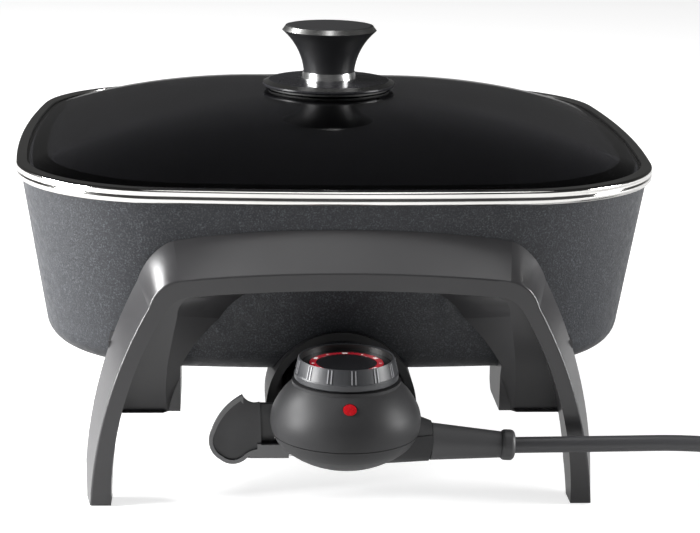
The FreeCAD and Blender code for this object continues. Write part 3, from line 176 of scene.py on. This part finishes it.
class Surface:
    """A principled material with a small tool kit for tone, grain and bumps, in metres."""

    def __init__(self, name, colour, roughness, metallic=0.0, specular=0.5, coat=0.0,
                 coat_roughness=0.1):
        self.material = bpy.data.materials.new(name)
        self.material.use_nodes = True
        self.tree = self.material.node_tree
        self.shader = self.tree.nodes["Principled BSDF"]
        self.set("Base Color", (*colour, 1))
        self.set("Roughness", roughness)
        self.set("Metallic", metallic)
        self.set("Coat Weight", coat)
        self.set("Coat Roughness", coat_roughness)
        self.set("Specular IOR Level", specular)
        self.place = self.tree.nodes.new("ShaderNodeTexCoord").outputs["Object"]
        self.height = None

    def set(self, socket, value):
        self.shader.inputs[socket].default_value = value

    def link(self, source, target):
        self.tree.links.new(source, target)

    def stretched(self, scale):
        mapping = self.tree.nodes.new("ShaderNodeMapping")
        mapping.inputs["Scale"].default_value = scale
        self.link(self.place, mapping.inputs["Vector"])
        return mapping.outputs["Vector"]

    def noise(self, size, detail=3.0, stretch=None):
        node = self.tree.nodes.new("ShaderNodeTexNoise")
        node.inputs["Scale"].default_value = 1 / size
        node.inputs["Detail"].default_value = detail
        self.link(self.stretched(stretch) if stretch else self.place, node.inputs["Vector"])
        return node.outputs["Fac"]

    def cells(self, size):
        node = self.tree.nodes.new("ShaderNodeTexVoronoi")
        node.inputs["Scale"].default_value = 1 / size
        self.link(self.place, node.inputs["Vector"])
        return node

    def ramp(self, source, dark, light, low=noise_low, high=noise_high):
        node = self.tree.nodes.new("ShaderNodeValToRGB")
        node.color_ramp.elements[0].position = low
        node.color_ramp.elements[0].color = (*dark, 1)
        node.color_ramp.elements[1].position = high
        node.color_ramp.elements[1].color = (*light, 1)
        self.link(source, node.inputs["Fac"])
        return node.outputs["Color"]

    def level(self, source, start, stop, low=noise_low, high=noise_high):
        return map_range(self.tree, source, low, high, start, stop)

    def mix(self, factor, first, second):
        node = self.tree.nodes.new("ShaderNodeMix")
        node.data_type = "RGBA"
        self.link(factor, node.inputs["Factor"])
        for socket, value in (("A", first), ("B", second)):
            target = [item for item in node.inputs if item.name == socket and item.type == "RGBA"][0]
            if isinstance(value, tuple):
                target.default_value = (*value, 1)
            else:
                self.link(value, target)
        return [item for item in node.outputs if item.type == "RGBA"][0]

    def bump(self, source, depth, strength=1.0):
        node = self.tree.nodes.new("ShaderNodeBump")
        node.inputs["Distance"].default_value = depth
        node.inputs["Strength"].default_value = strength
        self.link(source, node.inputs["Height"])
        if self.height:
            self.link(self.height, node.inputs["Normal"])
        self.height = node.outputs["Normal"]
        self.link(self.height, self.shader.inputs["Normal"])

    def part(self, axis):
        node = self.tree.nodes.new("ShaderNodeSeparateXYZ")
        self.link(self.place, node.inputs[0])
        return node.outputs[axis]

    def math(self, operation, first, second):
        return calculate(self.tree, operation, first, second)

    def above(self, axis, limit):
        """1 where the place along an axis is past the limit."""
        return self.math("GREATER_THAN", self.part(axis), limit)

    def beyond(self, radius, middle=pan_shift):
        """1 further than radius from an upright axis: the pan's, unless another middle is given."""
        along = self.math("SUBTRACT", self.part("Y"), middle)
        across = self.part("X")
        square = self.math("ADD", self.math("MULTIPLY", across, across),
                           self.math("MULTIPLY", along, along))
        return self.math("GREATER_THAN", square, radius * radius)

    def trim(self, mask, colour, roughness):
        """Bright metal where the mask is 1, such as a turned bevel."""
        source = self.shader.inputs["Base Color"].links[0].from_socket
        self.paint(self.mix(mask, source, colour))
        self.link(mask, self.shader.inputs["Metallic"])
        rough = self.shader.inputs["Roughness"].links[0].from_socket
        self.roughen(self.math("ADD", self.math("MULTIPLY", rough, self.math("SUBTRACT", 1.0, mask)),
                               self.math("MULTIPLY", mask, roughness)))

    def paint(self, output):
        self.link(output, self.shader.inputs["Base Color"])

    def roughen(self, output):
        self.link(output, self.shader.inputs["Roughness"])


def shade(colour, factor):
    return tuple(channel * factor for channel in colour)


# Heights, radii and depths where one piece changes its finish, or, on the paddle's rim, where its painted
# highlight starts
smooth_foot_low = 0.0605
smooth_foot_high = 0.0625
knob_bevel_low = 0.1981
knob_bevel_inner = 0.0226
disc_bevel_low = 0.17065
disc_bevel_inner = 0.0314
paddle_rim_face = -0.14875
dial_rim_inner = 0.0207
bead_pitch = 0.0034
bead_depth = 0.00016
facet_size = 0.0012
glass_bend = 1.45


def coated_pan():
    """Non-stick coating: pale grain in blue-grey outside, smooth round the foot, and painted near black
    inside as painted shade under the lid.
    """
    surface = Surface("grained_coating", (0.03, 0.032, 0.038), 0.5, specular=0.42)
    cloud = surface.noise(0.09, 2.0)
    base = surface.ramp(cloud, (0.008, 0.009, 0.012), (0.014, 0.0155, 0.019))
    grain = surface.level(surface.noise(0.00075, 2.0), 0.0, 1.0, low=0.47, high=0.68)
    patchy = surface.level(surface.noise(0.006, 2.0), 0.45, 1.0, low=0.25, high=0.75)
    tint = surface.ramp(surface.noise(0.0016, 1.0), (0.032, 0.035, 0.042), (0.075, 0.08, 0.09))
    wall = surface.mix(surface.math("MULTIPLY", grain, patchy), base, tint)
    foot = surface.level(surface.part("Z"), 1.0, 0.0, low=smooth_foot_low, high=smooth_foot_high)
    wall = surface.mix(foot, wall, (0.016, 0.017, 0.02))
    facing = surface.tree.nodes.new("ShaderNodeNewGeometry")
    across = surface.tree.nodes.new("ShaderNodeSeparateXYZ")
    surface.link(facing.outputs["True Normal"], across.inputs[0])
    along = surface.math("SUBTRACT", surface.part("Y"), pan_shift)
    outward = surface.math("ADD", surface.math("MULTIPLY", across.outputs["X"], surface.part("X")),
                           surface.math("MULTIPLY", across.outputs["Y"], along))
    # Painted shade: the inner wall, which faces the pan's middle, and the inner floor, which faces up,
    # are painted near black for the shade under the lid
    inside = surface.math("MAXIMUM", surface.math("LESS_THAN", outward, -0.002),
                          surface.math("GREATER_THAN", across.outputs["Z"], 0.5))
    surface.paint(surface.mix(inside, wall, (0.006, 0.006, 0.007)))
    surface.roughen(surface.level(surface.noise(0.004), 0.42, 0.6))
    surface.bump(surface.noise(0.0009, 2.0), 0.00016, 0.9)
    return surface.material


def moulded(name, colour, roughness, grain=0.0005, depth=0.00002, specular=0.5):
    """Moulded plastic: a fine spark-eroded grain, slow changes of tone and soft handling marks."""
    surface = Surface(name, colour, roughness, specular=specular)
    cloud = surface.noise(0.05, 3.0)
    surface.paint(surface.ramp(cloud, shade(colour, 0.84), shade(colour, 1.16), low=0.15, high=0.85))
    marks = surface.noise(0.03, 1.0)
    surface.roughen(surface.level(marks, roughness * 0.92, roughness * 1.08, low=0.1, high=0.9))
    surface.bump(surface.noise(grain, 2.0), depth, 0.6)
    return surface.material


def metal(name, colour, roughness, brush):
    """Metal with faint smears and a drawn or turned grain, whose stretch brush gives."""
    surface = Surface(name, colour, roughness, metallic=1.0)
    cloud = surface.noise(0.03, 3.0)
    surface.paint(surface.ramp(cloud, shade(colour, 0.93), shade(colour, 1.0)))
    surface.roughen(surface.level(surface.noise(0.006, 3.0), roughness * 0.8, roughness * 1.25))
    surface.bump(surface.noise(0.0006, 2.0, brush), 0.00001, 0.5)
    return surface.material


def rolled_band():
    """Polished steel, rolled into two soft beads that run round it, with faint drawn lines."""
    surface = Surface("polished_band", (0.8, 0.79, 0.765), 0.1, metallic=1.0)
    surface.paint(surface.ramp(surface.noise(0.05), (0.7, 0.69, 0.67), (0.82, 0.81, 0.79)))
    surface.roughen(surface.level(surface.noise(0.02, 3.0), 0.07, 0.16))
    turn = surface.math("MULTIPLY", surface.part("Z"), math.tau / bead_pitch)
    surface.bump(surface.math("SINE", turn, 0.0), bead_depth, 1.0)
    surface.bump(surface.noise(0.0006, 2.0, (1, 1, 6)), 0.000004, 0.5)
    return surface.material


def clear_glass(name, colour, specular, smear=0.02):
    """Glass that smears make a little dull in places."""
    surface = Surface(name, colour, 0.0, specular=specular)
    surface.set("Transmission Weight", 1.0)
    surface.set("IOR", glass_bend)
    surface.roughen(surface.level(surface.noise(0.03, 2.0), smear * 0.5, smear, low=0.35, high=0.8))
    return surface.material


def trimmed_knob(name, colour, roughness, bevel_low, bevel_inner):
    """Black moulding whose outer bevel is turned to bright metal."""
    surface = Surface(name, colour, roughness, specular=0.3)
    surface.paint(surface.ramp(surface.noise(0.04), shade(colour, 0.8), shade(colour, 1.2)))
    surface.roughen(surface.level(surface.noise(0.01, 4.0), roughness * 0.85, roughness * 1.15))
    surface.bump(surface.noise(0.0005, 2.0), 0.00001, 0.5)
    bevel = surface.math("MULTIPLY", surface.above("Z", bevel_low), surface.beyond(bevel_inner))
    surface.trim(bevel, (0.62, 0.62, 0.61), 0.22)
    return surface.material


def rimmed_lever():
    """Dark moulding, with a painted highlight: pale along the paddle's raised rim."""
    surface = Surface("lever_moulding", (0.03, 0.03, 0.032), 0.42)
    inner = surface.ramp(surface.noise(0.02), (0.008, 0.008, 0.009), (0.018, 0.018, 0.02))
    # Painted highlight: the raised rim is painted pale grey, for the light on its rounded edge
    rim = surface.math("LESS_THAN", surface.part("Y"), paddle_rim_face)
    surface.paint(surface.mix(rim, inner, (0.09, 0.09, 0.092)))
    surface.roughen(surface.level(surface.noise(0.008, 4.0), 0.36, 0.48))
    surface.bump(surface.noise(0.0005, 2.0), 0.00002, 0.6)
    return surface.material


def dial_moulding():
    """Dark grey skirt, and black inside the rim where the face is sunk."""
    surface = Surface("dial_moulding", (0.04, 0.041, 0.044), 0.3)
    skirt = surface.ramp(surface.noise(0.02), (0.018, 0.019, 0.021), (0.03, 0.031, 0.034))
    outer = surface.beyond(dial_rim_inner, control_y)
    surface.paint(surface.mix(outer, (0.005, 0.005, 0.005), skirt))
    surface.roughen(surface.level(surface.noise(0.008, 4.0), 0.36, 0.46))
    surface.bump(surface.noise(0.0004, 2.0), 0.00001, 0.5)
    return surface.material


def pilot_red():
    """Red lens with small facets under a clear skin."""
    surface = Surface("pilot_red", (0.35, 0.006, 0.01), 0.12, coat=1.0, coat_roughness=0.05)
    facets = surface.cells(facet_size)
    surface.bump(facets.outputs["Distance"], 0.0003, 0.5)
    return surface.material


control_black = (0.025, 0.025, 0.026)
frame_grey = (0.03, 0.0295, 0.031)
materials = {
    "pan_body": coated_pan(),
    "frames": moulded("frame_moulding", frame_grey, 0.29, 0.0008, 0.00003),
    "probe_guard": moulded("guard_moulding", (0.02, 0.02, 0.021), 0.5),
    "knob_body": trimmed_knob("knob_moulding", (0.008, 0.008, 0.009), 0.42,
                              knob_bevel_low, knob_bevel_inner),
    "knob_cap": moulded("knob_cap_moulding", (0.012, 0.012, 0.013), 0.55, 0.0005, 0.00005),
    "knob_base": trimmed_knob("knob_disc_moulding", (0.014, 0.014, 0.016), 0.28,
                              disc_bevel_low, disc_bevel_inner),
    "control": moulded("control_moulding", control_black, 0.45, 0.0006, 0.00002, specular=0.16),
    "lever": rimmed_lever(),
    "dial_knob": dial_moulding(),
    # Painted highlight: the dial's ridges are painted light grey, for the highlights along them
    "dial_ridge": moulded("dial_ridge_painted_highlight", (0.2, 0.2, 0.21), 0.35),
    "white_print": moulded("white_print", (0.75, 0.74, 0.72), 0.4),
    "dial_face": moulded("dial_face_print", (0.008, 0.008, 0.009), 0.25),
    "red_ring": moulded("red_scale_print", (0.33, 0.008, 0.018), 0.3),
    "relief": moulded("relief_rubber", (0.041, 0.041, 0.043), 0.5, 0.0004, 0.00003),
    "cord": moulded("cord_sheath", (0.042, 0.042, 0.045), 0.42, 0.0006, 0.00003),
    "plug": moulded("plug_moulding", (0.03, 0.03, 0.032), 0.4),
    "gasket": moulded("silicone_gasket", (0.02, 0.02, 0.02), 0.6),
    "phenolic": moulded("contact_phenolic", (0.12, 0.09, 0.06), 0.5),
    "ceramic": moulded("switch_ceramic", (0.6, 0.57, 0.5), 0.6),
    "band": rolled_band(),
    "bright": metal("bright_trim", (0.72, 0.72, 0.72), 0.2, (1, 1, 12)),
    "steel": metal("plated_steel", (0.6, 0.6, 0.6), 0.28, (8, 8, 1)),
    "element": metal("heated_sheath", (0.32, 0.29, 0.26), 0.42, (4, 4, 1)),
    "brass": metal("plated_brass", (0.78, 0.70, 0.52), 0.25, (1, 8, 1)),
    # Painted shade: the lid's clear glass gets a dark tint, for the shade in the covered pan seen through
    # it
    "glass": clear_glass("lid_glass_painted_shade", (0.06, 0.06, 0.068), 0.1, 0.11),
    "lamp": clear_glass("lamp_glass", (0.95, 0.6, 0.45), 0.5),
    "pilot": pilot_red(),
}

# Each finish, and the nodes that have it
finish_nodes = {
    "pan_body": ["pan_body"],
    "frames": ["front_frame", "rear_frame"],
    "probe_guard": ["probe_guard"],
    "element": ["heating_element"],
    "steel": ["terminal_pins", "probe_socket", "guard_screws", "frame_washers", "frame_screws",
        "knob_washer", "knob_screw", "sensing_probe", "shell_screws", "dial_shaft", "lever_pin"],
    "glass": ["lid_glass"],
    "band": ["lid_band"],
    "gasket": ["knob_gasket", "coil_tie"],
    "knob_base": ["knob_base"],
    "bright": ["knob_collar"],
    "knob_body": ["knob_body"],
    "knob_cap": ["knob_cap"],
    "control": ["control_shell_upper", "control_shell_lower"],
    "phenolic": ["contact_block"],
    "brass": ["receptacle_contacts", "plug_pins"],
    "ceramic": ["thermostat_switch"],
    "pilot": ["pilot_lens"],
    "lamp": ["neon_lamp"],
    "dial_knob": ["dial_knob"],
    "dial_face": ["dial_face"],
    "red_ring": ["dial_scale_ring"],
    "lever": ["eject_lever"],
    "relief": ["strain_relief"],
    "cord": ["power_cord", "cord_coil"],
    "plug": ["plug_body"],
}
for finish, names in finish_nodes.items():
    for name in names:
        nodes[name].data.materials.clear()
        nodes[name].data.materials.append(materials[finish])
cord.data.materials.append(materials["cord"])


# Small pieces on the dial: paired ridges round its skirt and white marks on its scale

dial_centre = Vector((0, control_y, 0))
skirt_low = 0.0690
skirt_high = 0.0749
skirt_radius_low = 0.02292
skirt_radius_high = 0.02155
ridge_count = 13
ridge_start = math.radians(5)
ridge_spread = math.radians(2.1)
ridge_half_width = 0.00028
ridge_proud = 0.00028
ridge_sunk = 0.0003
mark_count = 9
first_mark = math.radians(54)
last_mark = math.radians(306)
mark_height = 0.07263
mark_thickness = 0.0002
mark_middle_radius = 0.01515
# Half angle and half length of the marks at the main steps, and of those between
long_mark = (0.085, 0.00085)
short_mark = (0.03, 0.0006)


def finish_piece(name, drawn, body, finish):
    """Makes a piece of the drawn mesh, which rides on a body and takes the given finish."""
    bmesh.ops.recalc_face_normals(drawn, faces=drawn.faces)
    mesh = bpy.data.meshes.new(name)
    drawn.to_mesh(mesh)
    drawn.free()
    mesh.materials.append(materials[finish])
    shape = bpy.data.objects.new(name, mesh)
    scene.collection.objects.link(shape)
    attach(shape, body)


def around(radius, angle, height):
    """A place round the dial, with angle 0 towards the user and growing to the right."""
    return dial_centre + Vector((radius * math.sin(angle), -radius * math.cos(angle), height))


def block(drawn, angle, half_angle, ends):
    """A closed block round one angle. Each of its two ends has an inner and outer radius and a height."""
    low, high = [[drawn.verts.new(point) for point in (around(inner, angle - half_angle, height),
                                                       around(outer, angle - half_angle, height),
                                                       around(outer, angle + half_angle, height),
                                                       around(inner, angle + half_angle, height))]
                 for inner, outer, height in ends]
    drawn.faces.new(low[::-1])
    drawn.faces.new(high)
    for index in range(4):
        following = (index + 1) % 4
        drawn.faces.new((low[index], low[following], high[following], high[index]))


def make_dial_ridges():
    """Pairs of thin ridges that climb the dial's skirt, painted light grey as a painted highlight."""
    drawn = bmesh.new()
    ends = [(radius - ridge_sunk, radius + ridge_proud, height)
            for radius, height in ((skirt_radius_low, skirt_low), (skirt_radius_high, skirt_high))]
    for index in range(ridge_count):
        middle = ridge_start + index * math.tau / ridge_count
        for side in (-1, 1):
            block(drawn, middle + side * ridge_spread, ridge_half_width / skirt_radius_low, ends)
    finish_piece("dial_ridges", drawn, "dial", "dial_ridge")


def make_scale_marks():
    """Plain white marks on the red ring, longer at the main steps."""
    drawn = bmesh.new()
    for index in range(mark_count):
        angle = first_mark + (last_mark - first_mark) * index / (mark_count - 1)
        half_angle, reach = long_mark if index % 2 == 0 else short_mark
        ends = [(mark_middle_radius - reach, mark_middle_radius + reach, height)
                for height in (mark_height - mark_thickness, mark_height)]
        block(drawn, angle, half_angle, ends)
    finish_piece("scale_marks", drawn, "dial", "white_print")


make_dial_ridges()
make_scale_marks()


# Studio: a pale floor, a white surround and soft lamps

floor_reach = 6.0
floor_height = -0.0005
floor_tone = 0.55
# The floor's own glow: what the camera sees, and what it gives to the rest
floor_glow_seen = 0.74
floor_glow_given = 0.22
# The surround's glow as reflections see it: in front, behind, and the share of it that is left high up
surround_front = 0.09
surround_behind = 0.06
surround_high_share = 0.35


def make_floor():
    mesh = bpy.data.meshes.new("floor")
    corners = [(across * floor_reach, along * floor_reach, floor_height)
               for across, along in ((-1, -1), (1, -1), (1, 1), (-1, 1))]
    mesh.from_pydata(corners, [], [(0, 1, 2, 3)])
    floor = bpy.data.objects.new("floor", mesh)
    scene.collection.objects.link(floor)
    material = bpy.data.materials.new("floor_paper")
    material.use_nodes = True
    tree = material.node_tree
    shader = tree.nodes["Principled BSDF"]
    shader.inputs["Base Color"].default_value = (floor_tone, floor_tone, floor_tone, 1)
    shader.inputs["Roughness"].default_value = 0.9
    shader.inputs["Specular IOR Level"].default_value = 0.1
    glow = tree.nodes.new("ShaderNodeEmission")
    path = tree.nodes.new("ShaderNodeLightPath")
    seen = path.outputs["Is Camera Ray"]
    strength = map_range(tree, seen, 0.0, 1.0, floor_glow_given, floor_glow_seen)
    tree.links.new(strength, glow.inputs["Strength"])
    add = tree.nodes.new("ShaderNodeAddShader")
    tree.links.new(shader.outputs[0], add.inputs[0])
    tree.links.new(glow.outputs[0], add.inputs[1])
    tree.links.new(add.outputs[0], tree.nodes["Material Output"].inputs["Surface"])
    mesh.materials.append(material)


def make_world():
    """White to the camera. To reflections and soft light it is dim, most of all high up and behind."""
    world = bpy.data.worlds.new("studio")
    scene.world = world
    world.use_nodes = True
    tree = world.node_tree
    background = tree.nodes["Background"]
    background.inputs["Color"].default_value = (1, 1, 1, 1)
    direction = tree.nodes.new("ShaderNodeTexCoord")
    axes = tree.nodes.new("ShaderNodeSeparateXYZ")
    tree.links.new(direction.outputs["Generated"], axes.inputs[0])
    level = map_range(tree, axes.outputs["Y"], -0.95, 0.2, surround_front, surround_behind)
    share = map_range(tree, axes.outputs["Z"], 0.15, 0.5, 1.0, surround_high_share)
    soft = calculate(tree, "MULTIPLY", level, share)
    path = tree.nodes.new("ShaderNodeLightPath")
    seen = calculate(tree, "MAXIMUM", path.outputs["Is Camera Ray"], path.outputs["Is Transmission Ray"])
    tree.links.new(calculate(tree, "MAXIMUM", soft, seen), background.inputs["Strength"])


# Name, place, the height that it is aimed at on the axis, width, height and watts
lamps = [
    ("overhead", (0.1, -0.1, 1.5), 0.08, 0.9, 0.6, 4.0),
    ("left_strip", (-1.35, -0.3, 0.5), 0.1, 0.45, 0.9, 54.0),
    ("left_back", (-1.25, 0.35, 0.9), 0.1, 0.35, 0.35, 32.0),
    ("right_strip", (1.35, -0.25, 0.45), 0.1, 0.45, 0.8, 28.0),
    ("front_fill", (-0.2, -1.8, 1.2), 0.08, 1.2, 0.6, 1.0),
]


def make_lamp(name, place, aimed_at, width, height, power):
    data = bpy.data.lights.new(name, "AREA")
    data.shape = "RECTANGLE"
    data.size = width
    data.size_y = height
    data.energy = power
    lamp = bpy.data.objects.new(name, data)
    scene.collection.objects.link(lamp)
    aim = Vector((0, 0, aimed_at)) - Vector(place)
    turn = aim.to_track_quat("-Z", "Y").to_matrix().to_4x4()
    lamp.matrix_world = Matrix.Translation(place) @ turn


make_floor()
make_world()
for lamp in lamps:
    make_lamp(*lamp)

scene.view_settings.view_transform = "Standard"

bpy.context.view_layer.update()
